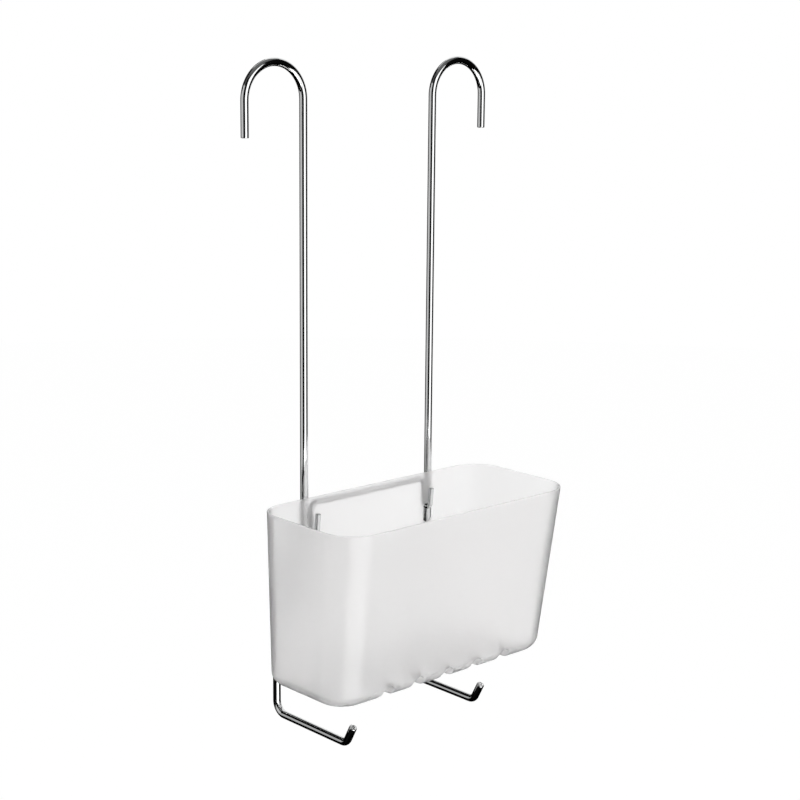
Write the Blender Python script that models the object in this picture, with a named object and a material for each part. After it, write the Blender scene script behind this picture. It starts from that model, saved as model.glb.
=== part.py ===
"""Hanging shower caddy: a frosted plastic basket hooked onto a frame of bent chrome wire.

The frame hangs by two open hooks. The origin is midway between them, at the height where their crooks
rest on what holds them. X runs along the basket, -Y is its front, +Y the wall and +Z up. Lengths are in
metres and angles in degrees.
"""

import math

import bmesh
import bpy
from mathutils import Matrix, Vector

# Wire of the two hangers, and the thinner wire that joins them
HANGER_WIRE = 0.0050
CROSS_WIRE = 0.0035
WIRE_END_CHAMFER = 0.0005

# Top hooks: distance between their centres, bend radius of the wire's centre line, free leg
HOOK_PITCH = 0.150
HOOK_BEND = 0.022
HOOK_LEG = 0.0215

# Rods: from the crooks down to the basket's rim, then the step back to the wall
RIM_DROP = 0.2645
STEP_BELOW_RIM = 0.048
STEP_DROP = 0.022
STEP_DEPTH = 0.025
STEP_SPREAD = 0.0027
STEP_BEND = 0.010

# Lower hooks: arm below the basket, and its turned-up tip
ARM_CLEARANCE = 0.0345
ARM_REACH = 0.0440
ARM_BEND = 0.0080
TIP_LENGTH = 0.0140
TIP_ANGLE = 62
TIP_BEND = 0.0060

# Crossbar and the J-hooks on its ends
CROSSBAR_BELOW_RIM = 0.0045
CROSSBAR_BEND = 0.0055
WELD_ANGLE = 15
CROOK_BELOW_RIM = 0.0200
J_TIP_RISE = 0.0103
J_TIP_LEAN = 5
SEAT_GAP = 0.0003
J_TIP_PLAY = 0.0002

# Basket: outer size at the rim, draft of its walls, corners in plan and edges
BASKET_LENGTH = 0.1915
BASKET_DEPTH = 0.0892
BASKET_HEIGHT = 0.1120
WALL = 0.0016
SIDE_DRAFT = 2.6
FRONT_DRAFT = 7.8
BACK_DRAFT = 0.9
RIM_FRONT_CORNER = 0.0220
RIM_BACK_CORNER = 0.0205
FLOOR_FRONT_CORNER = 0.0190
FLOOR_BACK_CORNER = 0.0140
FLOOR_EDGE = 0.0090
RIM_EDGE = 0.0006

# Slots in the back wall, for the J-hooks
SLOT_WIDTH = 0.0090
SLOT_HEIGHT = 0.0132

# Channels moulded across the underside, each a rib inside, and drain slots between them
CHANNEL_COUNT = 5
CHANNEL_PITCH = 0.0250
CHANNEL_WIDTH = 0.0095
CHANNEL_DEPTH = 0.0085
CHANNEL_MOUTH = 0.0030
DRAIN_WIDTH = 0.0035
DRAIN_LENGTH = 0.0180
DRAIN_SPACING = 0.0290

# Shared by all cuts, and the fineness of bends, corners and edges
CUT_OVERRUN = 0.0100
SAME_POINT = 0.000001
BEND_STEP = 11.25
HANGER_ROUNDNESS = 6
CROSS_ROUNDNESS = 4
CORNER_STEPS = 10
EDGE_STEPS = 6
RIM_STEPS = 2
ARC_STEPS = 6
SHARP_ANGLE = 30

# Places that follow from the sizes
ROD_X = HOOK_PITCH / 2 - HOOK_BEND
WELD_DISTANCE = (HANGER_WIRE + CROSS_WIRE) / 2 + SEAT_GAP
LEG_X = ROD_X - WELD_DISTANCE * math.cos(math.radians(WELD_ANGLE))
LEG_Y = -WELD_DISTANCE * math.sin(math.radians(WELD_ANGLE))
BACK_Y = LEG_Y - CROSS_WIRE / 2 - SEAT_GAP
RIM_Z = -RIM_DROP
CROOK_SETBACK = CROOK_BELOW_RIM * math.tan(math.radians(BACK_DRAFT))
CROOK_BEND = (CROSS_WIRE + CROOK_SETBACK + WALL + J_TIP_PLAY) / 2 + SEAT_GAP
CROOK_INSIDE = CROOK_BEND - CROSS_WIRE / 2 - SEAT_GAP
SLOT_TOP = CROOK_BELOW_RIM + math.sqrt(CROOK_INSIDE**2 - (CROOK_INSIDE - J_TIP_PLAY) ** 2)


def make_material(name, colour, roughness, metallic, transmission):
    """Plain surface with the part's colour, gloss and metalness."""
    material = bpy.data.materials.new(name)
    material.use_nodes = True
    shader = material.node_tree.nodes["Principled BSDF"]
    shader.inputs["Base Color"].default_value = (*colour, 1)
    shader.inputs["Roughness"].default_value = roughness
    shader.inputs["Metallic"].default_value = metallic
    shader.inputs["Transmission Weight"].default_value = transmission
    return material


def add_object(name, data, collection, location, parent=None):
    """Object in a collection, placed by its own origin."""
    item = bpy.data.objects.new(name, data)
    collection.objects.link(item)
    item.parent = parent
    item.location = location
    return item


def bent_route(corners):
    """Points along a bent wire's centre line, from its corners and their bend radii."""
    route = [corners[0][0]]
    for (before, _), (corner, radius), (after, _) in zip(corners, corners[1:], corners[2:]):
        back = (before - corner).normalized()
        ahead = (after - corner).normalized()
        turn = math.pi - back.angle(ahead)
        reach = radius * math.tan(turn / 2)
        centre = corner + (back + ahead).normalized() * radius / math.cos(turn / 2)
        start = corner + back * reach - centre
        axis = start.cross(corner + ahead * reach - centre)
        steps = math.ceil(turn / math.radians(BEND_STEP))
        for step in range(steps + 1):
            route.append(centre + Matrix.Rotation(turn * step / steps, 3, axis) @ start)
    route.append(corners[-1][0])
    distinct = [route[0]]
    for point in route[1:]:
        if (point - distinct[-1]).length > SAME_POINT:
            distinct.append(point)
    return distinct


def wire_curve(name, route, diameter, roundness):
    """Round wire along a route, with its cut ends lightly chamfered."""
    data = bpy.data.curves.new(name, "CURVE")
    data.dimensions = "3D"
    data.bevel_depth = diameter / 2
    data.bevel_resolution = roundness
    data.use_fill_caps = True
    first = route[0] + (route[1] - route[0]).normalized() * WIRE_END_CHAMFER
    last = route[-1] + (route[-2] - route[-1]).normalized() * WIRE_END_CHAMFER
    points = [route[0], first, *route[1:-1], last, route[-1]]
    spline = data.splines.new("POLY")
    spline.points.add(len(points) - 1)
    for target, point in zip(spline.points, points):
        target.co = (*point, 1)
        target.radius = 1
    for end in (spline.points[0], spline.points[-1]):
        end.radius = 1 - WIRE_END_CHAMFER / (diameter / 2)
    return data


def hanger_wire(name, side, material, collection, parent):
    """One hanger: top hook, rod, step back, lower rod and lower hook. Side is -1 for left, 1 for right.

    Its own origin is on the inside of the top hook's crook.
    """
    rod = -side * HOOK_BEND
    lower_rod = rod + side * STEP_SPREAD
    crown = HANGER_WIRE / 2
    leg_end = crown - HOOK_BEND - HOOK_LEG
    step_top = RIM_Z - STEP_BELOW_RIM
    step_bottom = step_top - STEP_DROP
    arm = RIM_Z - BASKET_HEIGHT - ARM_CLEARANCE - HANGER_WIRE / 2
    rise = math.radians(TIP_ANGLE)
    tip = Vector((0, -math.cos(rise), math.sin(rise))) * TIP_LENGTH
    elbow = Vector((lower_rod, -ARM_REACH, arm))
    corners = [
        (Vector((side * HOOK_BEND, 0, leg_end)), 0),
        (Vector((side * HOOK_BEND, 0, crown)), HOOK_BEND),
        (Vector((rod, 0, crown)), HOOK_BEND),
        (Vector((rod, 0, step_top)), STEP_BEND),
        (Vector((lower_rod, STEP_DEPTH, step_bottom)), STEP_BEND),
        (Vector((lower_rod, STEP_DEPTH, arm)), ARM_BEND),
        (elbow, TIP_BEND),
        (elbow + tip, 0),
    ]
    data = wire_curve(name, bent_route(corners), HANGER_WIRE, HANGER_ROUNDNESS)
    data.materials.append(material)
    return add_object(name, data, collection, (side * HOOK_PITCH / 2, 0, 0), parent)


def crossbar_wire(material, collection, parent):
    """Crossbar whose ends turn down beside the rods and hook forward through the basket's back wall.

    Its own origin is on the rim's height, in the plane of its legs.
    """
    turn = math.radians(90 - J_TIP_LEAN)
    crook = -CROOK_BELOW_RIM - CROOK_BEND
    tip_y = -CROOK_BEND * (1 + math.tan(turn / 2))
    lean = math.radians(J_TIP_LEAN)
    tip_base = Vector((LEG_X, tip_y, crook))
    straight = CROOK_BEND * math.tan(turn / 2) + J_TIP_RISE
    tip = tip_base + Vector((0, -math.sin(lean), math.cos(lean))) * straight
    half = [
        (tip, 0),
        (tip_base, CROOK_BEND),
        (Vector((LEG_X, 0, crook)), CROOK_BEND),
        (Vector((LEG_X, 0, -CROSSBAR_BELOW_RIM)), CROSSBAR_BEND),
    ]
    mirrored = [(Vector((-point.x, point.y, point.z)), radius) for point, radius in reversed(half)]
    data = wire_curve("crossbar_wire", bent_route(half + mirrored), CROSS_WIRE, CROSS_ROUNDNESS)
    data.materials.append(material)
    return add_object("crossbar_wire", data, collection, (0, LEG_Y, RIM_Z), parent)


def arc(centre, radius, first, last, steps):
    """Points on an arc in a plane, from the first angle to the last."""
    angles = [math.radians(first + (last - first) * step / steps) for step in range(steps + 1)]
    return [(centre[0] + radius * math.cos(a), centre[1] + radius * math.sin(a)) for a in angles]


def tub_outline(depth, inset):
    """Plan of the tub at a depth below the rim, moved in from the outer wall, anticlockwise from above.

    The plan is a rectangle with round corners. Its sides come in with the walls' draft, and its corner
    radii change evenly from the rim to the floor.
    """
    half = BASKET_LENGTH / 2 - depth * math.tan(math.radians(SIDE_DRAFT)) - inset
    front = depth * math.tan(math.radians(FRONT_DRAFT)) - BASKET_DEPTH + inset
    back = -depth * math.tan(math.radians(BACK_DRAFT)) - inset
    level = depth / BASKET_HEIGHT
    front_corner = RIM_FRONT_CORNER + (FLOOR_FRONT_CORNER - RIM_FRONT_CORNER) * level - inset
    back_corner = RIM_BACK_CORNER + (FLOOR_BACK_CORNER - RIM_BACK_CORNER) * level - inset
    right_back = (half - back_corner, back - back_corner)
    left_back = (back_corner - half, back - back_corner)
    left_front = (front_corner - half, front + front_corner)
    right_front = (half - front_corner, front + front_corner)
    return [
        *arc(right_back, back_corner, 0, 90, CORNER_STEPS),
        *arc(left_back, back_corner, 90, 180, CORNER_STEPS),
        *arc(left_front, front_corner, 180, 270, CORNER_STEPS),
        *arc(right_front, front_corner, 270, 360, CORNER_STEPS),
    ]


def tub_loft(name, rows):
    """Closed solid lofted down through the tub's plans at each (depth, inset) of rows."""
    shape = bmesh.new()
    rings = []
    for depth, inset in rows:
        rings.append([shape.verts.new((x, y, -depth)) for x, y in tub_outline(depth, inset)])
    for upper, lower in zip(rings, rings[1:]):
        for index in range(len(upper)):
            after = (index + 1) % len(upper)
            shape.faces.new((upper[index], lower[index], lower[after], upper[after]))
    shape.faces.new(rings[0])
    shape.faces.new(reversed(rings[-1]))
    mesh = bpy.data.meshes.new(name)
    shape.to_mesh(mesh)
    shape.free()
    return mesh


def rim_rows(face_inset, outward):
    """Quarter round at the rim. The wall's face is at face_inset; outward is 1 outside and -1 inside."""
    quarter = arc((0, 0), RIM_EDGE, 0, 90, RIM_STEPS)
    return [(RIM_EDGE - up, face_inset + outward * (RIM_EDGE - out)) for up, out in quarter]


def floor_rows(face_inset):
    """Round edge between the walls and the floor, for a face that lies face_inset inside the outer one."""
    radius = FLOOR_EDGE - face_inset
    depth = BASKET_HEIGHT - face_inset
    quarter = arc((0, 0), radius, 0, 90, EDGE_STEPS)
    return [(depth - radius + down, face_inset + radius - out) for out, down in quarter]


def flat_cutter(name, outlines, thickness, collection, parent):
    """Cutter of one thickness through flat outlines, centred on its own XY plane."""
    data = bpy.data.curves.new(name, "CURVE")
    data.dimensions = "2D"
    data.fill_mode = "BOTH"
    data.extrude = thickness / 2
    for outline in outlines:
        spline = data.splines.new("POLY")
        spline.points.add(len(outline) - 1)
        for target, (x, y) in zip(spline.points, outline):
            target.co = (x, y, 0, 1)
        spline.use_cyclic_u = True
    outline_object = add_object(name, data, collection, (0, 0, 0))
    evaluated = outline_object.evaluated_get(bpy.context.evaluated_depsgraph_get())
    mesh = bpy.data.meshes.new_from_object(evaluated)
    bpy.data.objects.remove(outline_object)
    shape = bmesh.new()
    shape.from_mesh(mesh)
    bmesh.ops.remove_doubles(shape, verts=shape.verts, dist=SAME_POINT)
    shape.to_mesh(mesh)
    shape.free()
    return add_cutter(name, mesh, collection, parent)


def add_cutter(name, mesh, collection, parent):
    """Cutter object, drawn as wire and left out of renders."""
    cutter = add_object(name, mesh, collection, (0, 0, 0), parent)
    cutter.hide_render = True
    cutter.display_type = "WIRE"
    return cutter


def cut(target, cutter):
    """Take the cutter's shape out of the target."""
    modifier = target.modifiers.new(cutter.name, "BOOLEAN")
    modifier.operation = "DIFFERENCE"
    modifier.solver = "EXACT"
    modifier.object = cutter


def arch_outline(centre, width, height, crown, mouth):
    """Cross-section of a channel: an arch with a round crown and a flared mouth, open below."""
    half = width / 2
    right_mouth = arc((half + mouth, mouth), mouth, 270, 180, ARC_STEPS)
    right_crown = arc((half - crown, height - crown), crown, 0, 90, ARC_STEPS)
    right = [(half + mouth, -CUT_OVERRUN), *right_mouth, *right_crown]
    left = [(-x, y) for x, y in reversed(right)]
    return [(centre + x, y) for x, y in right + left]


def rib_outline(centre, width, height, crown):
    """Cross-section of the rib over a channel: an arch that starts below the floor's upper face."""
    half = width / 2
    right = [(half, 0), *arc((half - crown, height - crown), crown, 0, 90, ARC_STEPS)]
    left = [(-x, y) for x, y in reversed(right)]
    return [(centre + x, y) for x, y in right + left]


def stadium_outline(centre, width, length):
    """Round-ended slot, longer along its second axis."""
    radius = width / 2
    straight = length / 2 - radius
    x, y = centre
    upper = arc((x, y + straight), radius, 0, 180, 2 * ARC_STEPS)
    lower = arc((x, y - straight), radius, 180, 360, 2 * ARC_STEPS)
    return upper + lower


def basket(material, collection, cutters, parent):
    """Frosted tub. Its own origin is on the rim, on the outer face of its back wall.

    It is the outer form, less a cavity that keeps a rib over each channel, less the channels, the
    drain slots and the two slots in the back wall.
    """
    outer_rows = [*rim_rows(0, 1), *floor_rows(0)]
    tub = add_object("basket", tub_loft("basket", outer_rows), collection, (0, BACK_Y, RIM_Z), parent)
    tub.data.materials.append(material)

    above_rim = (-CUT_OVERRUN, WALL - RIM_EDGE)
    cavity_rows = [above_rim, *rim_rows(WALL, -1), *floor_rows(WALL)]
    cavity = add_cutter("basket_cavity", tub_loft("basket_cavity", cavity_rows), cutters, tub)

    middle = (CHANNEL_COUNT - 1) / 2
    channel_places = [(index - middle) * CHANNEL_PITCH for index in range(CHANNEL_COUNT)]
    pad_places = [(index - middle - 1 / 2) * CHANNEL_PITCH for index in range(CHANNEL_COUNT + 1)]
    crown = min(CHANNEL_DEPTH - CHANNEL_MOUTH, CHANNEL_WIDTH / 2)
    channels = [arch_outline(x, CHANNEL_WIDTH, CHANNEL_DEPTH, crown, CHANNEL_MOUTH) for x in channel_places]
    rib_width = CHANNEL_WIDTH + 2 * WALL
    ribs = [rib_outline(x, rib_width, CHANNEL_DEPTH + WALL, crown + WALL) for x in channel_places]
    through = BASKET_DEPTH + 2 * CUT_OVERRUN
    rib_cutter = flat_cutter("floor_ribs", ribs, through, cutters, tub)
    channel_cutter = flat_cutter("floor_channels", channels, through, cutters, tub)
    for bars in (rib_cutter, channel_cutter):
        bars.rotation_euler.x = math.radians(90)
        bars.location = (0, -BASKET_DEPTH / 2, -BASKET_HEIGHT)

    front_edge = BASKET_HEIGHT * math.tan(math.radians(FRONT_DRAFT)) - BASKET_DEPTH
    back_edge = -BASKET_HEIGHT * math.tan(math.radians(BACK_DRAFT))
    floor_middle = (front_edge + back_edge) / 2
    drain_rows = [floor_middle - DRAIN_SPACING / 2, floor_middle + DRAIN_SPACING / 2]
    drains = [stadium_outline((x, y), DRAIN_WIDTH, DRAIN_LENGTH) for x in pad_places for y in drain_rows]
    drain_cutter = flat_cutter("drain_slots", drains, CUT_OVERRUN, cutters, tub)
    drain_cutter.location.z = -BASKET_HEIGHT

    slot_middle = -SLOT_TOP - SLOT_HEIGHT / 2
    slots = [stadium_outline((side * LEG_X, slot_middle), SLOT_WIDTH, SLOT_HEIGHT) for side in (-1, 1)]
    slot_cutter = flat_cutter("hook_slots", slots, CUT_OVERRUN, cutters, tub)
    slot_cutter.rotation_euler.x = math.radians(90)

    cut(cavity, rib_cutter)
    for cutter in (cavity, channel_cutter, drain_cutter, slot_cutter):
        cut(tub, cutter)
    tub.data.shade_smooth()
    tub.data.set_sharp_from_angle(angle=math.radians(SHARP_ANGLE))
    return tub


def main():
    """Build the caddy in an emptied scene."""
    for item in list(bpy.data.objects):
        bpy.data.objects.remove(item)
    parts = bpy.data.collections.new("hanging_shower_caddy")
    cutters = bpy.data.collections.new("cutters")
    for collection in (parts, cutters):
        bpy.context.scene.collection.children.link(collection)
    chrome = make_material("polished_chrome", (0.80, 0.80, 0.80), 0.06, 1, 0)
    frosted = make_material("frosted_plastic", (0.86, 0.86, 0.85), 0.42, 0, 0.5)
    hanging_point = add_object("hanging_point", None, parts, (0, 0, 0))
    hanger_wire("left_hanger_wire", -1, chrome, parts, hanging_point)
    hanger_wire("right_hanger_wire", 1, chrome, parts, hanging_point)
    crossbar_wire(chrome, parts, hanging_point)
    basket(frosted, parts, cutters, hanging_point)
    bpy.context.view_layer.update()


main()
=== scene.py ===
# %% [markdown]
# # A hanging shower caddy, dressed for its picture
#
# The real object is a frosted plastic basket that hangs on a frame of bent, chromed steel wire. Two tall
# rods hook over the mixer in the shower, a thinner wire joins them and carries the basket on two small
# J-hooks, and the rods end below the basket in two open hooks for a cloth or a razor.
#
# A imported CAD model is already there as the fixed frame. It moves, and it says where everything is. This
# script lays finer surfaces and real finishes over it, and never moves it.

# %% Load the fixed frame
import math

import bpy
import numpy as np
from mathutils import Matrix, Vector


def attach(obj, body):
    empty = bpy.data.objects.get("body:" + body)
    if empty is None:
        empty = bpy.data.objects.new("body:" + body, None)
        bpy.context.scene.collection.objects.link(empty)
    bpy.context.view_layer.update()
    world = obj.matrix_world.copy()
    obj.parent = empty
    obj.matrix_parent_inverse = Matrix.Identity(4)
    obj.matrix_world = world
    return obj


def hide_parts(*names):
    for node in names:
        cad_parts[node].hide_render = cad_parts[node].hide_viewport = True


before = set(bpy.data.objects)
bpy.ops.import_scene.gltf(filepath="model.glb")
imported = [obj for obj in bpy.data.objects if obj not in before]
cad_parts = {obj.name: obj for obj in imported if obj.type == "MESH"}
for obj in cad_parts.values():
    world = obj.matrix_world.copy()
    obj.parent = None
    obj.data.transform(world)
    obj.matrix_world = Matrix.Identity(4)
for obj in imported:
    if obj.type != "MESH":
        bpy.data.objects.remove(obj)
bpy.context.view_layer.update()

MM = 0.001

# %% [markdown]
# ## The camera
#
# A product picture is taken from far away with a long lens, so that upright lines stay almost parallel.
# The camera stands in front of the caddy, to its left and a little above the basket. It is turned about the
# upright axis first, then tilted down, then rolled by half a degree, which is how a hand-held camera errs.

# %% Camera
CAMERA_PLACE = Vector((-733.41, -828.55, 25.00)) * MM
CAMERA_TURN = math.radians(-42.56)
CAMERA_TILT = math.radians(-11.98)
CAMERA_ROLL = math.radians(0.536)
LENS = 79.81
SENSOR = 36.0

camera_data = bpy.data.cameras.new("camera")
camera_data.lens = LENS
camera_data.sensor_width = SENSOR
camera = bpy.data.objects.new("camera", camera_data)
bpy.context.scene.collection.objects.link(camera)
upright = math.radians(90)
camera.matrix_world = (
    Matrix.Translation(CAMERA_PLACE)
    @ Matrix.Rotation(CAMERA_TURN, 4, "Z")
    @ Matrix.Rotation(upright + CAMERA_TILT, 4, "X")
    @ Matrix.Rotation(CAMERA_ROLL, 4, "Z")
)
bpy.context.scene.camera = camera
print("camera at", [round(v, 3) for v in camera.location], "lens", LENS)

# %% [markdown]
# ## Surfaces from numbers
#
# Every piece here is a grid: rows of points carried along a path, or down a wall. Numpy works out all the
# points at once, and two small helpers turn a grid into faces and faces into a mesh. Blender could draw
# tubes by itself, but a worked-out grid gives us the rounded wire ends and a map that runs along the wire.


# %% Faces of a grid, and a mesh from points and faces
def grid_faces(numbers, closed):
    """Quads between neighbouring rows and columns of a table of vertex numbers.

    A closed grid also joins its last column to its first.
    """
    after = np.roll(numbers, -1, axis=1) if closed else numbers[:, 1:]
    here = numbers if closed else numbers[:, :-1]
    quads = (here[:-1], after[:-1], after[1:], here[1:])
    return np.stack(quads, axis=-1).reshape(-1, 4)


def new_piece(name, points, faces, sharp_angle):
    """Object at the origin with its place in its mesh, smooth but for edges over an angle."""
    mesh = bpy.data.meshes.new(name)
    mesh.from_pydata(np.asarray(points, float).reshape(-1, 3).tolist(), [], faces)
    mesh.validate()
    mesh.shade_smooth()
    mesh.set_sharp_from_angle(angle=math.radians(sharp_angle))
    piece = bpy.data.objects.new(name, mesh)
    bpy.context.scene.collection.objects.link(piece)
    return piece


SHARP = 35

# %% [markdown]
# ## The bent wire
#
# A maker bends such a frame cold, on a machine that feeds straight wire against a set of pins. So its centre
# line is straight runs joined by arcs. We list the corners and the radius of each bend, and the arcs follow.
# A mark on the wire's skin is carried through each bend, so the surface never twists.


# %% Centre line of a bent wire
BEND_STEP = math.radians(3)
SAME_POINT = 1e-6
SLANTED = (0.31, 0.95, 0.11)  # along none of the wires, so that its cross product with them has a length


def turned(vector, axis, angles):
    """A vector turned about an axis by each of some angles.

    Its part along the axis stays and the rest goes round:
    v cos a + (axis x v) sin a + axis (axis . v)(1 - cos a).
    """
    cosine = np.cos(angles)[:, None]
    sine = np.sin(angles)[:, None]
    return vector * cosine + np.cross(axis, vector) * sine + axis * (axis @ vector) * (1 - cosine)


def unit(vector):
    """A vector of length one."""
    return vector / np.linalg.norm(vector)


def bent_line(corners, radii):
    """Points along a wire that turns on an arc at each inner corner, its direction there, and its mark.

    An arc of radius r that turns by t leaves its corner r tan(t / 2) before it.
    """
    corners = np.array(corners, float)
    runs = [unit(run) for run in np.diff(corners, axis=0)]
    mark = unit(np.cross(runs[0], SLANTED))
    points, ways, marks = [corners[:1]], [runs[0][None]], [mark[None]]
    for corner, radius, before, after in zip(corners[1:-1], radii, runs, runs[1:]):
        turn = math.acos(before @ after)
        axis = unit(np.cross(before, after))
        start = corner - before * radius * math.tan(turn / 2)
        centre = start + np.cross(axis, before) * radius
        angles = np.linspace(0, turn, math.ceil(turn / BEND_STEP) + 1)
        points.append(centre + turned(start - centre, axis, angles))
        ways.append(turned(before, axis, angles))
        marks.append(turned(mark, axis, angles))
        mark = marks[-1][-1]
    points, ways, marks = (np.concatenate(part) for part in (points, ways, marks))
    keep = np.append(True, np.linalg.norm(np.diff(points, axis=0), axis=1) > SAME_POINT)
    points = np.concatenate([points[keep], corners[-1:]])
    ways = np.concatenate([ways[keep], runs[-1][None]])
    marks = np.concatenate([marks[keep], mark[None]])
    return points, ways, marks


# %% [markdown]
# ## The wire's skin and its cut ends
#
# The skin is a circle carried along the centre line. The wire is cropped flat, and its edge is rounded when
# the ends are tumbled before plating, so the last half millimetre runs in on a quarter circle. The map on
# the skin has the distance along the wire as its first number and the distance round it as its second, both
# in metres, so that the marks left by drawing the wire can follow it through every bend.

# %% Skin of a wire
WIRE_EDGE = 0.5 * MM
EDGE_STEPS = 5
AROUND = 48


def wire_piece(name, corners, radii, diameter):
    """Round wire: centre + r (mark cos a + side sin a).

    r grows on a quarter circle at both ends.
    """
    line, ways, marks = bent_line(corners, radii)
    quarter = np.linspace(0, math.pi / 2, EDGE_STEPS)
    inward = WIRE_EDGE * (1 - np.cos(quarter))[:, None]
    end_radius = diameter / 2 - WIRE_EDGE * (1 - np.sin(quarter))
    head = line[0] + ways[0] * inward
    tail = line[-1] - ways[-1] * inward[::-1]
    centres = np.concatenate([head, line[1:-1], tail])
    own = np.concatenate([[0] * EDGE_STEPS, np.arange(1, len(line) - 1), [-1] * EDGE_STEPS]).astype(int)
    ways, marks = ways[own], marks[own]
    radius = np.full(len(centres), diameter / 2)
    radius[:EDGE_STEPS] = end_radius
    radius[-EDGE_STEPS:] = end_radius[::-1]
    angle = np.linspace(0, 2 * math.pi, AROUND, endpoint=False)[:, None]
    sides = np.cross(ways, marks)
    spokes = marks[:, None] * np.cos(angle) + sides[:, None] * np.sin(angle)
    skin = centres[:, None] + radius[:, None, None] * spokes

    rows = len(centres)
    numbers = np.arange(rows * AROUND).reshape(rows, AROUND)
    first_pole, last_pole = rows * AROUND, rows * AROUND + 1
    after = np.roll(numbers, -1, axis=1)
    quads = grid_faces(numbers, closed=True)
    first_fan = np.stack([np.full(AROUND, first_pole), after[0], numbers[0]], axis=-1)
    last_fan = np.stack([np.full(AROUND, last_pole), numbers[-1], after[-1]], axis=-1)
    points = np.concatenate([skin.reshape(-1, 3), line[:1], line[-1:]])
    piece = new_piece(name, points, quads.tolist() + first_fan.tolist() + last_fan.tolist(), SHARP)

    along = np.append(0, np.cumsum(np.linalg.norm(np.diff(centres, axis=0), axis=1)))
    step_round = math.pi * diameter / AROUND
    row_of = np.repeat(np.arange(rows - 1), AROUND)
    column_of = np.tile(np.arange(AROUND), rows - 1)
    quad_rows = np.stack([row_of, row_of, row_of + 1, row_of + 1], axis=-1)
    quad_columns = np.stack([column_of, column_of + 1, column_of + 1, column_of], axis=-1)
    quad_map = np.stack([along[quad_rows], quad_columns * step_round], axis=-1).reshape(-1, 2)
    fan_columns = np.arange(AROUND)[:, None] + np.array([0.5, 1, 0])
    fan_map = np.stack([np.zeros_like(fan_columns), fan_columns * step_round], axis=-1).reshape(-1, 2)
    layer = piece.data.uv_layers.new(name="along_and_round")
    layer.data.foreach_set("uv", np.concatenate([quad_map, fan_map, fan_map]).ravel())
    print(name, "is", round(along[-1] / MM, 1), "mm long, with", len(piece.data.polygons), "faces")
    return piece


# %% [markdown]
# ## The two hangers
#
# Each hanger is one length of 5 mm wire. From its free end it goes up, over the crook, down the rod, back to
# the wall in a small step, down behind the basket, forward under it and up again at the tip. The right one is
# the left one's mirror image, so one list of corners makes both, with the sign of x changed.

# %% Left and right hanger
HANGER_WIRE = 5.0 * MM
HOOK_PITCH = 150.0 * MM
HOOK_BEND = 22.0 * MM
HOOK_LEG = 21.5 * MM
RIM_Z = -264.5 * MM
STEP_TOP = RIM_Z - 48.0 * MM
STEP_BOTTOM = STEP_TOP - 22.0 * MM
STEP_DEPTH = 25.0 * MM
STEP_SPREAD = 2.7 * MM
STEP_BEND = 10.0 * MM
ARM_Z = -413.5 * MM
ARM_REACH = 44.0 * MM
ARM_BEND = 8.0 * MM
TIP_LENGTH = 14.0 * MM
TIP_ANGLE = math.radians(62)
TIP_BEND = 6.0 * MM
ROD_X = HOOK_PITCH / 2 - HOOK_BEND


def hanger(name, side):
    """One hanger, left for side -1 and right for side 1."""
    crown = HANGER_WIRE / 2
    free_x = HOOK_PITCH / 2 + HOOK_BEND
    low_x = ROD_X + STEP_SPREAD
    tip_y = -ARM_REACH - TIP_LENGTH * math.cos(TIP_ANGLE)
    tip_z = ARM_Z + TIP_LENGTH * math.sin(TIP_ANGLE)
    corners = np.array([
        (free_x, 0, crown - HOOK_BEND - HOOK_LEG),
        (free_x, 0, crown),
        (ROD_X, 0, crown),
        (ROD_X, 0, STEP_TOP),
        (low_x, STEP_DEPTH, STEP_BOTTOM),
        (low_x, STEP_DEPTH, ARM_Z),
        (low_x, -ARM_REACH, ARM_Z),
        (low_x, tip_y, tip_z),
    ]) * (side, 1, 1)
    radii = (HOOK_BEND, HOOK_BEND, STEP_BEND, STEP_BEND, ARM_BEND, TIP_BEND)
    return wire_piece(name, corners, radii, HANGER_WIRE)


left_hanger = hanger("left_chrome_hanger", -1)
right_hanger = hanger("right_chrome_hanger", 1)

# %% [markdown]
# ## The crossbar with its J-hooks
#
# One length of 3.5 mm wire joins the rods behind the basket's rim. At each end it turns down beside the rod,
# forward through a slot in the basket's wall, and up again inside it. It is made just as the hangers are.

# %% Crossbar
CROSS_WIRE = 3.5 * MM
SEAT_GAP = 0.3 * MM
WELD_ANGLE = math.radians(15)
WELD_DISTANCE = (HANGER_WIRE + CROSS_WIRE) / 2 + SEAT_GAP
LEG_X = ROD_X - WELD_DISTANCE * math.cos(WELD_ANGLE)
LEG_Y = -WELD_DISTANCE * math.sin(WELD_ANGLE)
CROSSBAR_Z = RIM_Z - 4.5 * MM
CROSSBAR_BEND = 5.5 * MM
WALL = 1.6 * MM
BACK_DRAFT = math.radians(0.9)
CROOK_BELOW_RIM = 20.0 * MM
TIP_PLAY = 0.2 * MM
CROOK_BEND = (CROSS_WIRE + CROOK_BELOW_RIM * math.tan(BACK_DRAFT) + WALL + TIP_PLAY) / 2 + SEAT_GAP
TIP_RISE = 10.3 * MM
TIP_LEAN = math.radians(5)

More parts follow.
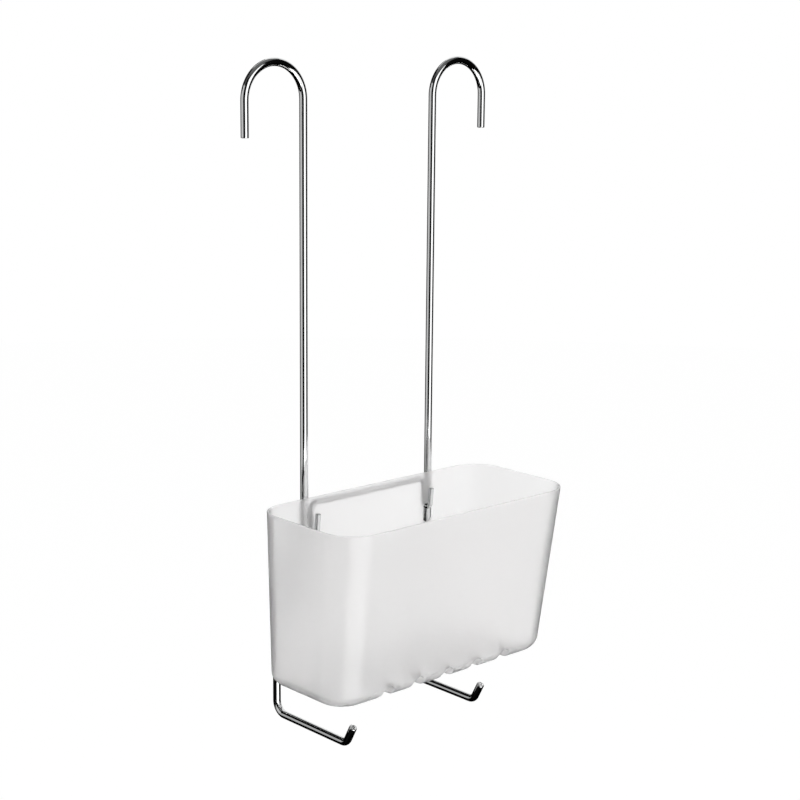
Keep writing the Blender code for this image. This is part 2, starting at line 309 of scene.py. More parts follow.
crook_z = RIM_Z - CROOK_BELOW_RIM - CROOK_BEND
half_turn = (math.pi / 2 - TIP_LEAN) / 2
base_y = LEG_Y - CROOK_BEND * (1 + math.tan(half_turn))
tip_run = CROOK_BEND * math.tan(half_turn) + TIP_RISE
right_half = np.array([
    (LEG_X, LEG_Y, CROSSBAR_Z),
    (LEG_X, LEG_Y, crook_z),
    (LEG_X, base_y, crook_z),
    (LEG_X, base_y - tip_run * math.sin(TIP_LEAN), crook_z + tip_run * math.cos(TIP_LEAN)),
])
left_half = (right_half * (-1, 1, 1))[::-1]
cross_radii = (CROOK_BEND, CROOK_BEND, CROSSBAR_BEND, CROSSBAR_BEND, CROOK_BEND, CROOK_BEND)
cross_corners = np.concatenate([left_half, right_half])
crossbar = wire_piece("chrome_crossbar", cross_corners, cross_radii, CROSS_WIRE)

# %% [markdown]
# ## The welds
#
# Each leg of the crossbar is welded to its rod before the frame is plated. A resistance weld leaves no bead
# of added metal: the two wires sink into each other a little, and the plating runs over a short, smooth
# saddle between them. Its cross-section is an hourglass, and it tapers to nothing at both ends.

# %% Weld saddles
WELD_TOP = RIM_Z - 11.0 * MM
WELD_LENGTH = 8.0 * MM
WELD_REACH = 1.5 * MM
WELD_HALF_WIDTH = 0.85 * MM
WELD_WAIST = 1.3
WELD_ROWS = 25
WELD_AROUND = 40
WELD_TAPER = 0.6


def weld_piece(name, side):
    """Saddle between a leg and a rod.

    Round the section, reach cos a runs from wire to wire and width sin a (1 + waist cos^2 a) across them.
    Along it, the height is half sin p and the section shrinks by cos p to a power below one.
    """
    wire_to_wire = np.array([side * math.cos(WELD_ANGLE), math.sin(WELD_ANGLE), 0])
    across = np.cross((0, 0, 1), wire_to_wire)
    middle_gap = CROSS_WIRE / 2 + SEAT_GAP / 2
    centre = np.array([side * LEG_X, LEG_Y, WELD_TOP - WELD_LENGTH / 2]) + wire_to_wire * middle_gap
    rise = np.linspace(-math.pi / 2, math.pi / 2, WELD_ROWS + 2)[1:-1, None]
    turn = np.linspace(0, 2 * math.pi, WELD_AROUND, endpoint=False)
    shrink = np.cos(rise) ** WELD_TAPER
    reach = WELD_REACH * np.cos(turn) * shrink
    width = WELD_HALF_WIDTH * np.sin(turn) * (1 + WELD_WAIST * np.cos(turn) ** 2) * shrink
    height = WELD_LENGTH / 2 * np.sin(rise)
    up = np.array((0.0, 0.0, 1.0))
    skin = centre + reach[..., None] * wire_to_wire + width[..., None] * across + height[..., None] * up
    poles = centre + np.array([[-1.0], [1.0]]) * up * WELD_LENGTH / 2
    numbers = np.arange(WELD_ROWS * WELD_AROUND).reshape(WELD_ROWS, WELD_AROUND)
    low, high = WELD_ROWS * WELD_AROUND, WELD_ROWS * WELD_AROUND + 1
    after = np.roll(numbers, -1, axis=1)
    low_fan = np.stack([np.full(WELD_AROUND, low), after[0], numbers[0]], axis=-1)
    high_fan = np.stack([np.full(WELD_AROUND, high), numbers[-1], after[-1]], axis=-1)
    faces = grid_faces(numbers, closed=True).tolist() + low_fan.tolist() + high_fan.tolist()
    print(name, "runs over", round(WELD_LENGTH / MM, 1), "mm")
    return new_piece(name, np.concatenate([skin.reshape(-1, 3), poles]), faces, SHARP)


welds = [weld_piece("left_leg_weld", -1), weld_piece("right_leg_weld", 1)]

# %% [markdown]
# ## The basket: its plan at each height
#
# The basket is one injection moulding. Every wall leans outwards, so that it leaves the mould, and the front
# leans most. Seen from above it is a rectangle with round corners at every height, and the corners grow a
# little towards the rim. So the wall is a stack of such outlines, each with the same number of points.
#
# The points along the front and the back have to fall where the drainage channels of the floor are, so we
# start with the cross-section of the floor.

# %% Cross-section of the floor, from the left to the right
CHANNEL_COUNT = 5
CHANNEL_PITCH = 25.0 * MM
CHANNEL_WIDTH = 9.5 * MM
CHANNEL_HEIGHT = 8.5 * MM
CHANNEL_MOUTH = 3.0 * MM
RIB_FOOT = 1.5 * MM
CROWN_STEPS = 9
MOUTH_STEPS = 7
FLAT_STEPS = 6
END_STEPS = 10


def arch_half(radius, height, foot, base):
    """Right half of an arch: a quarter circle down from the crown, then a quarter ellipse out to the base."""
    spring = height - radius
    down = np.linspace(math.pi / 2, 0, CROWN_STEPS)
    out = np.linspace(math.pi, 1.5 * math.pi, MOUTH_STEPS)[1:]
    x = np.concatenate([radius * np.cos(down), radius + foot + foot * np.cos(out)])
    z = np.concatenate([spring + radius * np.sin(down), spring + (spring - base) * np.sin(out)])
    return np.stack([x, z], axis=-1)


def floor_section(half_channel, foot_x, base):
    """(x, z) across the floor: arches a pitch apart with flats between them."""
    full = np.concatenate([(half_channel * (-1, 1))[:0:-1], half_channel])
    places = (np.arange(CHANNEL_COUNT) - (CHANNEL_COUNT - 1) / 2) * CHANNEL_PITCH
    arches = full + np.stack([places, np.zeros(CHANNEL_COUNT)], axis=-1)[:, None]
    flat = np.linspace(foot_x, CHANNEL_PITCH - foot_x, FLAT_STEPS + 1)[1:-1]
    gaps = np.stack([places[:-1, None] + flat, np.full((CHANNEL_COUNT - 1, len(flat)), base)], axis=-1)
    pairs = [part for pair in zip(arches, gaps) for part in pair]
    return np.concatenate([*pairs, arches[-1]])


crown = CHANNEL_WIDTH / 2
outer_half = arch_half(crown, CHANNEL_HEIGHT, CHANNEL_MOUTH, 0.0)
inner_half = arch_half(crown + WALL, CHANNEL_HEIGHT + WALL, RIB_FOOT, WALL)
outer_section = floor_section(outer_half, outer_half[-1, 0], 0.0)
inner_section = floor_section(inner_half, inner_half[-1, 0], WALL)
print("the floor's section has", len(outer_section), "points and is", CHANNEL_COUNT, "channels wide")

# %% [markdown]
# Now the outline itself. The front and back are straight between their corners, and their points slide from
# the channels' places at the floor to even places higher up. The corners are quarter circles.

# %% Plan of the basket at a depth below its rim
BASKET_LENGTH = 191.5 * MM
BASKET_DEPTH = 89.2 * MM
BASKET_HEIGHT = 112.0 * MM
SIDE_DRAFT = math.radians(2.6)
FRONT_DRAFT = math.radians(7.8)
RIM_CORNERS = np.array([22.0, 20.5]) * MM
FLOOR_CORNERS = np.array([19.0, 14.0]) * MM
FLOOR_EDGE = 9.0 * MM
RIM_EDGE = 0.6 * MM
BACK_Y = LEG_Y - CROSS_WIRE / 2 - SEAT_GAP
CORNER_STEPS = 16
SIDE_STEPS = 30
EVEN_FROM = 11.0 * MM
EVEN_TO = 34.0 * MM


def straight_points(section, half, depth):
    """x along a straight side: the section's own places near the floor, even ones higher up."""
    own = section[:, 0]
    last = own[-1] * np.array([-1, 1])
    spare = np.linspace(0, 1, END_STEPS, endpoint=False)
    low = np.concatenate([-half + spare * (half + last[0]), own, (half - spare * (half - last[1]))[::-1]])
    even = np.linspace(-half, half, len(low))
    share = np.clip((BASKET_HEIGHT - depth - EVEN_FROM) / (EVEN_TO - EVEN_FROM), 0, 1)
    share = share * share * (3 - 2 * share)
    return low * (1 - share) + even * share


def front_and_back(section, depth, inset):
    """Two rows of plan points, front and back, each from the left side to the right side.

    Every wall is moved in by its draft and by the inset: half - depth tan(draft) - inset.
    """
    half = BASKET_LENGTH / 2 - depth * math.tan(SIDE_DRAFT) - inset
    front = BACK_Y - BASKET_DEPTH + depth * math.tan(FRONT_DRAFT) + inset
    back = BACK_Y - depth * math.tan(BACK_DRAFT) - inset
    corners = RIM_CORNERS + (FLOOR_CORNERS - RIM_CORNERS) * depth / BASKET_HEIGHT - inset
    rows = []
    for edge, radius, inwards in ((front, corners[0], 1), (back, corners[1], -1)):
        turn = np.linspace(0, math.pi / 2, CORNER_STEPS + 1)[:-1]
        corner_x = half - radius + radius * np.cos(turn)
        corner_y = edge + inwards * radius * (1 - np.sin(turn))
        middle = straight_points(section, half - radius, depth)
        x = np.concatenate([-corner_x, middle, corner_x[::-1]])
        y = np.concatenate([corner_y, np.full(len(middle), edge), corner_y[::-1]])
        rows.append(np.stack([x, y], axis=-1))
    return rows


def plan_grid(section, depth, inset):
    """Plan points of a whole floor: each column runs from its front point to its back point."""
    front, back = front_and_back(section, depth, inset)
    share = np.linspace(0, 1, SIDE_STEPS + 1)[:, None, None]
    return front * (1 - share) + back * share


def border(grid):
    """The outermost points of a grid, once round, anticlockwise from above."""
    return np.concatenate([grid[0], grid[1:-1, -1], grid[-1, ::-1], grid[-2:0:-1, 0]])


print("one outline has", len(border(plan_grid(outer_section, 0, 0))), "points")

# %% [markdown]
# ## The basket's shell
#
# A shell of real thickness is what makes frosted plastic look right, because light is bent at both of its
# faces. So one surface runs from the middle of the underside out to its edge, up the outside, over the rim,
# down the inside and in to the middle of the floor. The channels are lifted into it: a point is at the wall's
# own height or at the channel's, whichever is higher, with the crease between them rounded.

# %% Shell of the basket
CREASE = 1.2 * MM
EDGE_ROWS = 16
WALL_ROWS = 30
RIM_ROWS = 5


def rounded_higher(first, second, blend):
    """The higher of two heights, raised by (blend - difference)^2 / (4 blend) where they nearly meet."""
    near = np.maximum(blend - np.abs(first - second), 0)
    return np.maximum(first, second) + near**2 / (4 * blend)


def lift_of(section, base):
    """Height of the channel or rib over the floor at each column of the floor's grid, zero beyond them."""
    ends = np.full(CORNER_STEPS + END_STEPS, base)
    return np.concatenate([ends, section[:, 1], ends])


def edge_rows(base, steps):
    """(depth, inset) up the rounded edge between floor and wall, from the floor."""
    radius = FLOOR_EDGE - base
    turn = np.linspace(0, math.pi / 2, steps)
    depth = BASKET_HEIGHT - base - radius * (1 - np.cos(turn))
    return np.stack([depth, base + radius * (1 - np.sin(turn))], axis=-1)


def rim_half(inset, towards):
    """(depth, inset) over one rounded edge of the rim, from the wall up."""
    turn = np.linspace(0, math.pi / 2, RIM_ROWS)
    depth = RIM_EDGE * (1 - np.sin(turn))
    return np.stack([depth, inset + towards * RIM_EDGE * (1 - np.cos(turn))], axis=-1)


def eased(lift, base):
    """A channel's height, let down by up to one crease near the floor, so that it adds nothing there."""
    return lift - CREASE * np.clip(1 - (lift - base) / CREASE, 0, 1)


def skin_rows(section, rows, base):
    """Points of the borders at each (depth, inset), lifted over the channels."""
    lift = border(np.tile(lift_of(section, base), (SIDE_STEPS + 1, 1))[..., None])[:, 0]
    low_lift = eased(lift, base)
    skins = []
    for depth, inset in rows:
        plan = border(plan_grid(section, depth, inset))
        height = rounded_higher(BASKET_HEIGHT - depth, low_lift, CREASE)
        skins.append(np.concatenate([plan, (RIM_Z - BASKET_HEIGHT + height)[:, None]], axis=-1))
    return np.array(skins)


def floor_skin(section, base):
    """Points of one face of the floor, lifted over the channels."""
    plan = plan_grid(section, BASKET_HEIGHT - base, FLOOR_EDGE)
    low_lift = eased(lift_of(section, base), base)
    height = rounded_higher(base, np.broadcast_to(low_lift, plan.shape[:2]), CREASE)
    return np.concatenate([plan, (RIM_Z - BASKET_HEIGHT + height)[..., None]], axis=-1)


wall_depths = np.linspace(BASKET_HEIGHT - FLOOR_EDGE, RIM_EDGE, WALL_ROWS)[1:-1]
outer_rows = np.concatenate([
    edge_rows(0.0, EDGE_ROWS)[1:],
    np.stack([wall_depths, np.zeros(len(wall_depths))], axis=-1),
    rim_half(0.0, 1),
])
inner_rows = np.concatenate([
    rim_half(WALL, -1)[::-1],
    np.stack([wall_depths[::-1], np.full(len(wall_depths), WALL)], axis=-1),
    edge_rows(WALL, EDGE_ROWS)[:0:-1],
])
underside = floor_skin(outer_section, 0.0)
inside = floor_skin(inner_section, WALL)
walls = np.concatenate([
    skin_rows(outer_section, outer_rows, 0.0),
    skin_rows(inner_section, inner_rows, WALL),
])

floor_count = underside[..., 0].size
wall_count = walls[..., 0].size
under_numbers = np.arange(floor_count).reshape(underside.shape[:2])
wall_numbers = floor_count + np.arange(wall_count).reshape(walls.shape[:2])
inside_numbers = floor_count + wall_count + np.arange(floor_count).reshape(inside.shape[:2])
rings = np.concatenate([
    border(under_numbers[..., None]).T,
    wall_numbers,
    border(inside_numbers[..., None]).T,
])
shell_faces = np.concatenate([
    grid_faces(under_numbers, closed=False)[:, ::-1],
    grid_faces(rings, closed=True),
    grid_faces(inside_numbers, closed=False),
])
shell_points = np.concatenate([part.reshape(-1, 3) for part in (underside, walls, inside)])
basket = new_piece("frosted_basket", shell_points, shell_faces.tolist(), SHARP)
print("the shell has", len(shell_faces), "quads")

# %% [markdown]
# ## Holes in the basket
#
# Two tall slots in the back wall let the J-hooks through, and short slots in the flats of the floor drain it.
# A core pin in the mould leaves each hole with softly rounded lips. So the cutter isn't a plain prism but a
# spool: a round-ended outline that widens on a quarter circle towards both faces of the wall.

# %% Slots and drains
SLOT_SIZE = np.array([9.0, 13.2]) * MM
LIP = 0.5 * MM
LIP_STEPS = 5
LIP_END = math.radians(80)
HOLE_STEPS = 14
OVERRUN = 1.0 * MM
DRAIN_SIZE = np.array([3.5, 18.0]) * MM
DRAIN_SPACING = 29.0 * MM
inside_bend = CROOK_BEND - CROSS_WIRE / 2 - SEAT_GAP
slot_top = CROOK_BELOW_RIM + math.sqrt(inside_bend**2 - (inside_bend - TIP_PLAY) ** 2)


def spool(size):
    """Rings of (across, along, through) points: a stadium outline pushed outwards by lip (1 - cos a).

    a grows towards both faces of a wall one thickness deep, and the spool overruns the faces.
    """
    turn = np.linspace(0, math.pi, HOLE_STEPS + 1)
    normals = np.stack([np.cos(turn), np.sin(turn)], axis=-1)
    normals = np.concatenate([normals, -normals])
    lift = np.repeat([1.0, -1.0], HOLE_STEPS + 1)[:, None] * np.array([0, (size[1] - size[0]) / 2])
    angle = np.linspace(LIP_END, 0, LIP_STEPS)
    widen = LIP * (1 - np.cos(angle))
    deep = LIP * (1 - np.sin(angle))
    widen = np.concatenate([widen[:1], widen, widen[::-1], widen[:1]])
    deep = np.concatenate([[-OVERRUN], deep, WALL - deep[::-1], [WALL + OVERRUN]])
    flat = lift + normals * (size[0] / 2 + widen[:, None, None])
    through = np.broadcast_to(deep[:, None, None], (*flat.shape[:2], 1))
    return np.concatenate([flat, through], axis=-1)


def spool_faces(rings, start):
    """Faces of a closed spool whose vertices are numbered from start."""
    numbers = start + np.arange(rings[..., 0].size).reshape(rings.shape[:2])
    return grid_faces(numbers, closed=True).tolist() + [numbers[0, ::-1].tolist(), numbers[-1].tolist()]


cutters = []
for side in (-1, 1):
    shape = spool(SLOT_SIZE)
    depth = slot_top + SLOT_SIZE[1] / 2 - shape[..., 1]
    wall_y = BACK_Y - depth * math.tan(BACK_DRAFT) - shape[..., 2]
    cutters.append(np.stack([side * LEG_X + shape[..., 0], wall_y, RIM_Z - depth], axis=-1))
floor_front = BACK_Y - BASKET_DEPTH + BASKET_HEIGHT * math.tan(FRONT_DRAFT)
floor_middle = (floor_front + BACK_Y - BASKET_HEIGHT * math.tan(BACK_DRAFT)) / 2
pads = (np.arange(CHANNEL_COUNT + 1) - CHANNEL_COUNT / 2) * CHANNEL_PITCH
for x in pads:
    for y in (floor_middle - DRAIN_SPACING / 2, floor_middle + DRAIN_SPACING / 2):
        shape = spool(DRAIN_SIZE)
        cutters.append(shape + np.array([x, y, RIM_Z - BASKET_HEIGHT]))
starts = np.cumsum([0] + [shape[..., 0].size for shape in cutters])
cutter_faces = [face for shape, start in zip(cutters, starts) for face in spool_faces(shape, int(start))]
cutter_points = np.concatenate([shape.reshape(-1, 3) for shape in cutters])
cutter = new_piece("hole_cutter", cutter_points, cutter_faces, SHARP)


def facing_out(piece):
    """Turn a closed mesh's faces outwards."""
    bpy.context.view_layer.objects.active = piece
    piece.select_set(True)
    bpy.ops.object.mode_set(mode="EDIT")
    bpy.ops.mesh.select_all(action="SELECT")
    bpy.ops.mesh.normals_make_consistent(inside=False)
    bpy.ops.object.mode_set(mode="OBJECT")
    piece.select_set(False)


facing_out(cutter)
holes = basket.modifiers.new("holes", "BOOLEAN")
holes.operation = "DIFFERENCE"
holes.solver = "EXACT"
holes.object = cutter
bored = bpy.data.meshes.new_from_object(basket.evaluated_get(bpy.context.evaluated_depsgraph_get()))
basket.modifiers.clear()
basket.data = bored
bpy.data.objects.remove(cutter)
basket.data.shade_smooth()
basket.data.set_sharp_from_angle(angle=math.radians(SHARP))
print("after the holes:", len(basket.data.polygons), "faces")

# %% [markdown]
# ## Colours and nodes
#
# Colours are written as on a screen, in sRGB hex, and one function turns them to the linear values that
# Blender mixes light with. One helper adds a node with its settings and links.


# %% Colour and node helpers
def linear(hex_colour):
    """Linear RGBA of an sRGB hex colour: c / 12.92 when dark, else ((c + 0.055) / 1.055) ^ 2.4."""
    value = np.array([int(hex_colour[i:i + 2], 16) for i in (1, 3, 5)]) / 255
    value = np.where(value <= 0.04045, value / 12.92, ((value + 0.055) / 1.055) ** 2.4)
    return (*value.tolist(), 1.0)


def add_node(tree, kind, inputs=None, **settings):
    """Add a node. Settings are its own properties, and inputs are values or the outputs that feed them."""
    node = tree.nodes.new(kind)
    for key, value in settings.items():
        setattr(node, key, value)
    for key, value in (inputs or {}).items():
        if isinstance(value, bpy.types.NodeSocket):
            tree.links.new(value, node.inputs[key])
        else:
            node.inputs[key].default_value = value
    return node


def new_material(name):
    """Empty material with its node tree and its output."""
    material = bpy.data.materials.new(name)
    material.use_nodes = True
    tree = material.node_tree
    tree.nodes.clear()
    return material, tree, add_node(tree, "ShaderNodeOutputMaterial")


# %% [markdown]
# ## Polished chrome plate
#
# The wire is drawn steel, polished, then plated with nickel and a thin bright layer of chromium. Chromium
# reflects about half to two thirds of the light, a touch bluer than silver. The polish isn't perfect: the
# plating has a slight waviness, some millimetres long, and the drawing of the wire leaves hair-fine lines
# along it, which only soften a highlight. The lines follow the wire, so they read the map along and round it.

# %% Chrome
WAVE_LENGTH = 6.0 * MM
WAVE_HEIGHT = 0.004 * MM
LINE_LENGTH = 30.0 * MM
LINE_WIDTH = 0.35 * MM  # the real lines are finer than a tenth of this, too fine to show
LINE_HEIGHT = 0.0002 * MM


def chrome_finish(name, follows_wire):
    """Mirror-like metal with faint waves, drawing lines and patches of slightly softer polish."""
    material, tree, output = new_material(name)
    place = add_node(tree, "ShaderNodeTexCoord")
    if follows_wire:
        wire_map = add_node(tree, "ShaderNodeUVMap", uv_map="along_and_round").outputs["UV"]
    else:
        wire_map = place.outputs["Object"]
    stretched = add_node(tree, "ShaderNodeMapping", {
        "Vector": wire_map, "Scale": (1 / LINE_LENGTH, 1 / LINE_WIDTH, 1 / LINE_WIDTH)})
    lines = add_node(tree, "ShaderNodeTexNoise", {
        "Vector": stretched.outputs["Vector"], "Scale": 1.0, "Detail": 2.0})
    waves = add_node(tree, "ShaderNodeTexNoise", {
        "Vector": place.outputs["Object"], "Scale": 1 / WAVE_LENGTH, "Detail": 1.0})
    polish = add_node(tree, "ShaderNodeMapRange", {
        "Value": lines.outputs["Fac"], "From Min": 0.3, "From Max": 0.7, "To Min": 0.045, "To Max": 0.085})
    colour = add_node(tree, "ShaderNodeMix", {
        "Factor": waves.outputs["Fac"], "A": linear("#D5D6D6"), "B": linear("#E0E1E1")}, data_type="RGBA")
    wavy = add_node(tree, "ShaderNodeBump", {
        "Height": waves.outputs["Fac"], "Strength": 1.0, "Distance": WAVE_HEIGHT})
    lined = add_node(tree, "ShaderNodeBump", {
        "Height": lines.outputs["Fac"], "Normal": wavy.outputs["Normal"],
        "Strength": 1.0, "Distance": LINE_HEIGHT})
    shader = add_node(tree, "ShaderNodeBsdfPrincipled", {
        "Base Color": colour.outputs["Result"], "Metallic": 1.0,
        "Roughness": polish.outputs["Result"], "Normal": lined.outputs["Normal"]})
    tree.links.new(shader.outputs["BSDF"], output.inputs["Surface"])
    return material


wire_chrome = chrome_finish("polished_chrome_on_drawn_wire", True)
weld_chrome = chrome_finish("polished_chrome_on_weld", False)
print("chrome finishes:", wire_chrome.name, "and", weld_chrome.name)

# %% [markdown]
# ## Frosted polypropylene
#
# The basket is natural polypropylene, moulded against a blasted mould. The plastic is milky and lets most
# light through, its fine matt grain spreads that light, and the skin keeps a soft gloss. So wires close
# behind a wall show as soft grey bands, those further away vanish, and an edge that is seen along the wall
# is grey, because the light there has come a long way through plastic. Thickness varies a little, which
# gives clouds.
#
# The real index is 1.49. A rough skin at 1.49 would trap light that the real grain passes on, so the body
# has a lower index, and a clear coat at 1.49 gives the gloss. A small matt share stands for the milk's own
# light. The grey of edges seen along the wall is painted shade: the base colour turns grey as the view
# slants along the wall, standing in for the light lost there.

# %% Frosted plastic
CLOUD_LENGTH = 38.0 * MM
GRAIN = 0.7 * MM  # the real grain is about a tenth of this, too fine to show
GRAIN_HEIGHT = 0.01 * MM
MILKINESS = 2.0  # light falls as exp(-2 d) over d metres of plastic

frosted, tree, output = new_material("frosted_polypropylene")
place = add_node(tree, "ShaderNodeTexCoord")
clouds = add_node(tree, "ShaderNodeTexNoise", {
    "Vector": place.outputs["Object"], "Scale": 1 / CLOUD_LENGTH, "Detail": 2.0})
grain = add_node(tree, "ShaderNodeTexNoise", {
    "Vector": place.outputs["Object"], "Scale": 1 / GRAIN, "Detail": 2.0})
face_on = add_node(tree, "ShaderNodeMix", {
    "Factor": clouds.outputs["Fac"], "A": linear("#FEFDFD"), "B": linear("#FFFFFF")}, data_type="RGBA")
# Painted shade: the base colour greys towards #B8B8B8 where the wall is seen edge-on.
slant = add_node(tree, "ShaderNodeLayerWeight", {"Blend": 0.5})
painted_edge_shade = add_node(tree, "ShaderNodeMapRange", {
    "Value": slant.outputs["Facing"], "From Min": 0.45, "From Max": 0.92},
    interpolation_type="SMOOTHSTEP")
colour = add_node(tree, "ShaderNodeMix", {
    "Factor": painted_edge_shade.outputs["Result"], "A": face_on.outputs["Result"], "B": linear("#B8B8B8")},
    data_type="RGBA")
matt = add_node(tree, "ShaderNodeMapRange", {
    "Value": clouds.outputs["Fac"], "From Min": 0.3, "From Max": 0.7, "To Min": 0.82, "To Max": 0.90})
relief = add_node(tree, "ShaderNodeBump", {
    "Height": grain.outputs["Fac"], "Strength": 1.0, "Distance": GRAIN_HEIGHT})
shader = add_node(tree, "ShaderNodeBsdfPrincipled", {
    "Base Color": colour.outputs["Result"], "Metallic": 0.0, "IOR": 1.18, "Transmission Weight": 0.91,
    "Roughness": matt.outputs["Result"], "Normal": relief.outputs["Normal"],
    "Coat Weight": 0.7, "Coat Roughness": 0.28, "Coat IOR": 1.49})
milk = add_node(tree, "ShaderNodeVolumeAbsorption", {"Color": linear("#000000"), "Density": MILKINESS})
tree.links.new(shader.outputs["BSDF"], output.inputs["Surface"])
tree.links.new(milk.outputs["Volume"], output.inputs["Volume"])
print("plastic finish:", frosted.name)

# %% [markdown]
# ## Dress the pieces
#
# Each piece gets its finish and rides on the CAD body that it belongs to. The CAD solids that they stand
# for are hidden.

# %% Finishes, bodies and the solids that the pieces stand for
for piece, body, slot, finish in (
    (left_hanger, "frame", "polished_chrome", wire_chrome),
    (right_hanger, "frame", "polished_chrome", wire_chrome),
    (crossbar, "frame", "polished_chrome", wire_chrome),
    (welds[0], "frame", "polished_chrome", weld_chrome),
    (welds[1], "frame", "polished_chrome", weld_chrome),
    (basket, "basket", "frosted_plastic", frosted),
):
    piece.data.materials.clear()
    piece.data.materials.append(finish)
    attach(piece, body)
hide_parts("left_hanger_wire")
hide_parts("right_hanger_wire")
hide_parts("crossbar_wire")
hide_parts("basket")

# %% [markdown]
# ## The studio: white all round
#
# The caddy hangs in front of plain white, high above a pale floor. The camera, and rays that plastic or
# metal send on, see the surroundings at a strength of 1, which is white. Only rays that light a matt surface
# see a weaker level, and the lamps add the rest. The floor glows evenly as seen, and a small share of it is
# matt paint, which keeps the shadow.

# %% World and floor
SOFT_LEVEL = 0.65
FLOOR_Z = -1400.0 * MM
FLOOR_RADIUS = 7000.0 * MM
DISC_RINGS = 12
DISC_SPOKES = 64
FLOOR_GLOW = 1.04
SHADOW_SHARE = 0.10


def disc(name, radius, height):
    """Points and faces of a flat disc: rings r (cos a, sin a) round a hub, facing up."""
    ring = np.linspace(0, radius, DISC_RINGS + 1)[1:, None]
    angle = np.linspace(0, 2 * math.pi, DISC_SPOKES, endpoint=False)
    level = np.full((DISC_RINGS, DISC_SPOKES), height)
    rings = np.stack([ring * np.cos(angle), ring * np.sin(angle), level], axis=-1)
    numbers = np.arange(DISC_RINGS * DISC_SPOKES).reshape(DISC_RINGS, DISC_SPOKES)
    hub = np.stack([np.full(DISC_SPOKES, numbers.size), numbers[0], np.roll(numbers[0], -1)], axis=-1)
    faces = grid_faces(numbers, closed=True)[:, ::-1].tolist() + hub.tolist()
    return new_piece(name, np.concatenate([rings.reshape(-1, 3), [[0, 0, height]]]), faces, SHARP)


def seen_directly(tree):
    """1 for rays from the camera, from a reflection or through something clear, else 0."""
    path = add_node(tree, "ShaderNodeLightPath")
    mirror = add_node(tree, "ShaderNodeMath", {
        0: path.outputs["Is Camera Ray"], 1: path.outputs["Is Glossy Ray"]}, operation="MAXIMUM")
    clear = add_node(tree, "ShaderNodeMath", {
        0: mirror.outputs[0], 1: path.outputs["Is Transmission Ray"]}, operation="MAXIMUM")
    return clear.outputs[0]


world = bpy.data.worlds.new("white_studio")
world.use_nodes = True
world.node_tree.nodes.clear()
soft = add_node(world.node_tree, "ShaderNodeBackground", {"Color": linear("#FFFFFF"), "Strength": SOFT_LEVEL})
white = add_node(world.node_tree, "ShaderNodeBackground", {"Color": linear("#FFFFFF"), "Strength": 1.0})
either = add_node(world.node_tree, "ShaderNodeMixShader", {
    0: seen_directly(world.node_tree), 1: soft.outputs[0], 2: white.outputs[0]})
add_node(world.node_tree, "ShaderNodeOutputWorld", {"Surface": either.outputs[0]})
bpy.context.scene.world = world
bpy.context.scene.view_settings.view_transform = "Standard"

floor_white, tree, output = new_material("pale_floor")
paint = add_node(tree, "ShaderNodeBsdfDiffuse", {"Color": linear("#F4F4F4")})
glow = add_node(tree, "ShaderNodeEmission", {"Color": linear("#FFFFFF"), "Strength": FLOOR_GLOW})
lit = add_node(tree, "ShaderNodeMixShader", {0: SHADOW_SHARE, 1: glow.outputs[0], 2: paint.outputs[0]})
seen = add_node(tree, "ShaderNodeMixShader", {0: seen_directly(tree), 1: paint.outputs[0], 2: lit.outputs[0]})
tree.links.new(seen.outputs[0], output.inputs["Surface"])

floor = disc("floor", FLOOR_RADIUS, FLOOR_Z)
floor.data.materials.append(floor_white)
print("floor", round(-FLOOR_Z / MM), "mm below the hooks")

# %% [markdown]
# ## Cards round the caddy
#
# Chrome has hardly any look of its own: it shows the room. A photographer draws its stripes with cards,
# black ones for the dark lines, grey ones for the half tones, bright ones for the highlights, and gaps that
# let the white through. The bright ones at the right also give the basket's left front corner its soft
# upright highlight, in the clear coat.
#
# The camera never sees a card, and no card lights a matt surface. Most are seen through the plastic too,
# where they darken its edges. The black ones at the right and below are not, since they would darken the
# walls and the crossbar behind them. Each card is a patch of a large sphere round the caddy, given by how
# far it goes round from the camera's side and how far up. The low ones stand nearer, because they are made
# for the basket's leaning walls and the wires below it.

# %% Reflection cards
CARD_STEP = math.radians(4)
CARD_CENTRE = np.array([0.0, -30.0, -210.0]) * MM
FAR = 2600 * MM
NEAR = 900 * MM
BELOW_Z = -1000 * MM
BELOW_RADIUS = 2750 * MM  # wider than the far cards stand, so that no white shows between it and them
to_camera = np.array([*(CAMERA_PLACE.xy - Vector(CARD_CENTRE).xy), 0.0])
CARD_ZERO = math.atan2(to_camera[1], to_camera[0])


def unseen(piece, shade, strength, through):
    """A card that glows evenly in one shade, seen in reflections and, if so wanted, through the plastic.

    Through the plastic it never glows above 1, or the walls would clip to white in the views from behind.
    """
    material, tree, output = new_material(piece.name)
    path = add_node(tree, "ShaderNodeLightPath")
    drop = min(strength, 1.0) - strength
    level = add_node(tree, "ShaderNodeMath", {
        0: path.outputs["Is Transmission Ray"], 1: drop, 2: strength}, operation="MULTIPLY_ADD")
    paint = add_node(tree, "ShaderNodeEmission", {"Color": linear(shade), "Strength": level.outputs[0]})
    tree.links.new(paint.outputs[0], output.inputs["Surface"])
    piece.data.materials.append(material)
    piece.visible_camera = piece.visible_diffuse = piece.visible_shadow = False
    piece.visible_volume_scatter = False
    piece.visible_transmission = through


def card(name, shade, strength, distance, round_from, round_to, up_from, up_to, through=True):
    """Patch of a sphere: centre + distance (cos e cos a, cos e sin a, sin e).

    a is counted from the camera's side towards the picture's right, e from level towards the top.
    """
    spans = (round_to - round_from, up_to - up_from)
    steps = [max(2, math.ceil(math.radians(span) / CARD_STEP)) for span in spans]
    a = CARD_ZERO + np.radians(np.linspace(round_from, round_to, steps[0]))
    e = np.radians(np.linspace(up_from, up_to, steps[1]))[:, None]
    sphere = np.stack([np.cos(e) * np.cos(a), np.cos(e) * np.sin(a), np.sin(e) + 0 * a], axis=-1)
    points = CARD_CENTRE + distance * sphere
    numbers = np.arange(points[..., 0].size).reshape(points.shape[:2])
    piece = new_piece(name, points, grid_faces(numbers, closed=False)[:, ::-1].tolist(), SHARP)
    unseen(piece, shade, strength, through)


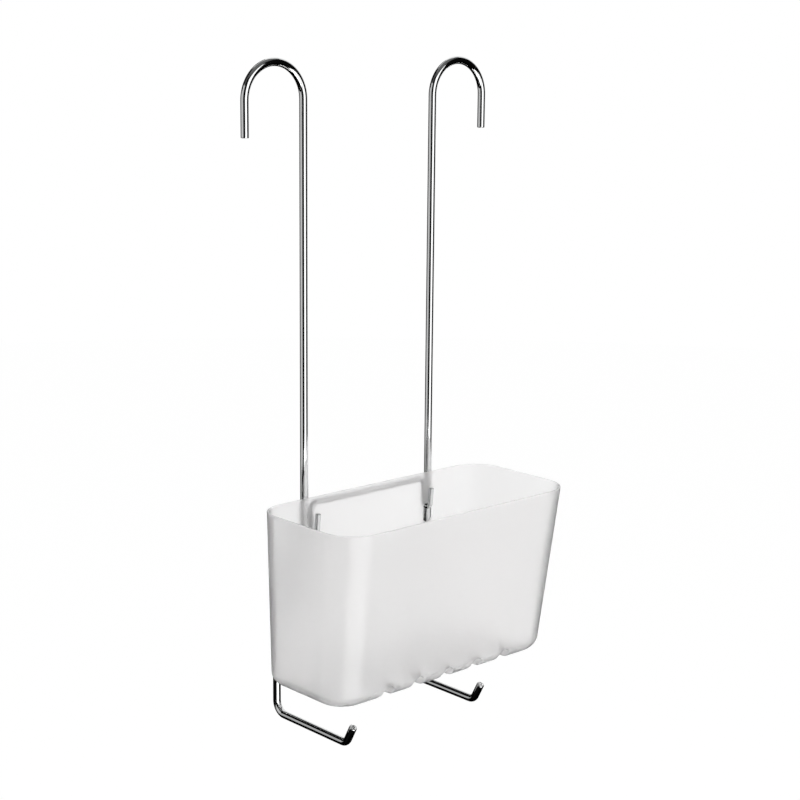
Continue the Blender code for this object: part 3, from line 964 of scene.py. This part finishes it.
card("black_card_front", "#101010", 1.0, FAR, -38, 16, -19, 50)
card("lit_card_right", "#FFFFFF", 1.6, FAR, 16, 67, -19, 38)
card("black_card_front_low", "#101010", 1.0, NEAR, -75, -2, -58, -16)
card("lit_card_right_low", "#FFFFFF", 2.8, NEAR, -2, 58, -58, -16)
card("grey_card_right_high", "#606060", 1.0, FAR, 16, 67, 38, 50)
card("black_card_right", "#0A0A0A", 1.0, FAR, 67, 128, -19, 50, through=False)
card("black_card_behind", "#101010", 1.0, FAR, 192, 255, -19, 50)
card("grey_card_left_behind", "#C0C0C0", 1.0, FAR, 255, 275, -19, 18)
card("black_card_left_behind_high", "#080808", 1.0, FAR, 235, 275, 18, 62)
card("grey_card_left", "#DADADA", 1.0, FAR, 275, 322, -19, 34)
card("grey_card_left_high", "#505050", 1.0, FAR, 275, 322, 34, 62)
card("grey_card_above", "#747474", 1.0, FAR, 0, 360, 62, 90)
card("grey_card_above_right", "#606060", 1.0, FAR, -38, 145, 50, 62)
unseen(disc("black_card_below", BELOW_RADIUS, BELOW_Z), "#020202", 1.0, False)

# %% [markdown]
# ## Lamps
#
# One large soft lamp stands at the front right and one hangs above. They light only the matt share of the
# plastic and the floor's paint: reflections and the clear share have the cards. With the soft level they
# light a white matt face to about 1, so every colour renders about as it is written.


# %% Lamps
def soft_lamp(name, round_from_camera, up, distance, width, height, power):
    """Rectangular lamp on a sphere round the caddy, facing its middle."""
    a, e = CARD_ZERO + math.radians(round_from_camera), math.radians(up)
    towards = Vector((math.cos(e) * math.cos(a), math.cos(e) * math.sin(a), math.sin(e)))
    data = bpy.data.lights.new(name, "AREA")
    data.shape = "RECTANGLE"
    data.size, data.size_y = width, height
    data.energy = power
    lamp = bpy.data.objects.new(name, data)
    bpy.context.scene.collection.objects.link(lamp)
    facing = towards.to_track_quat("Z", "Y").to_matrix().to_4x4()
    lamp.matrix_world = Matrix.Translation(Vector(CARD_CENTRE) + towards * distance) @ facing
    lamp.visible_transmission = lamp.visible_glossy = False
    return lamp


key = soft_lamp("key_lamp", 56, 8, 1700 * MM, 1300 * MM, 1900 * MM, 14.0)
top = soft_lamp("top_lamp", 10, 80, 1500 * MM, 1200 * MM, 1200 * MM, 12.0)
print("lamps:", key.name, top.name)
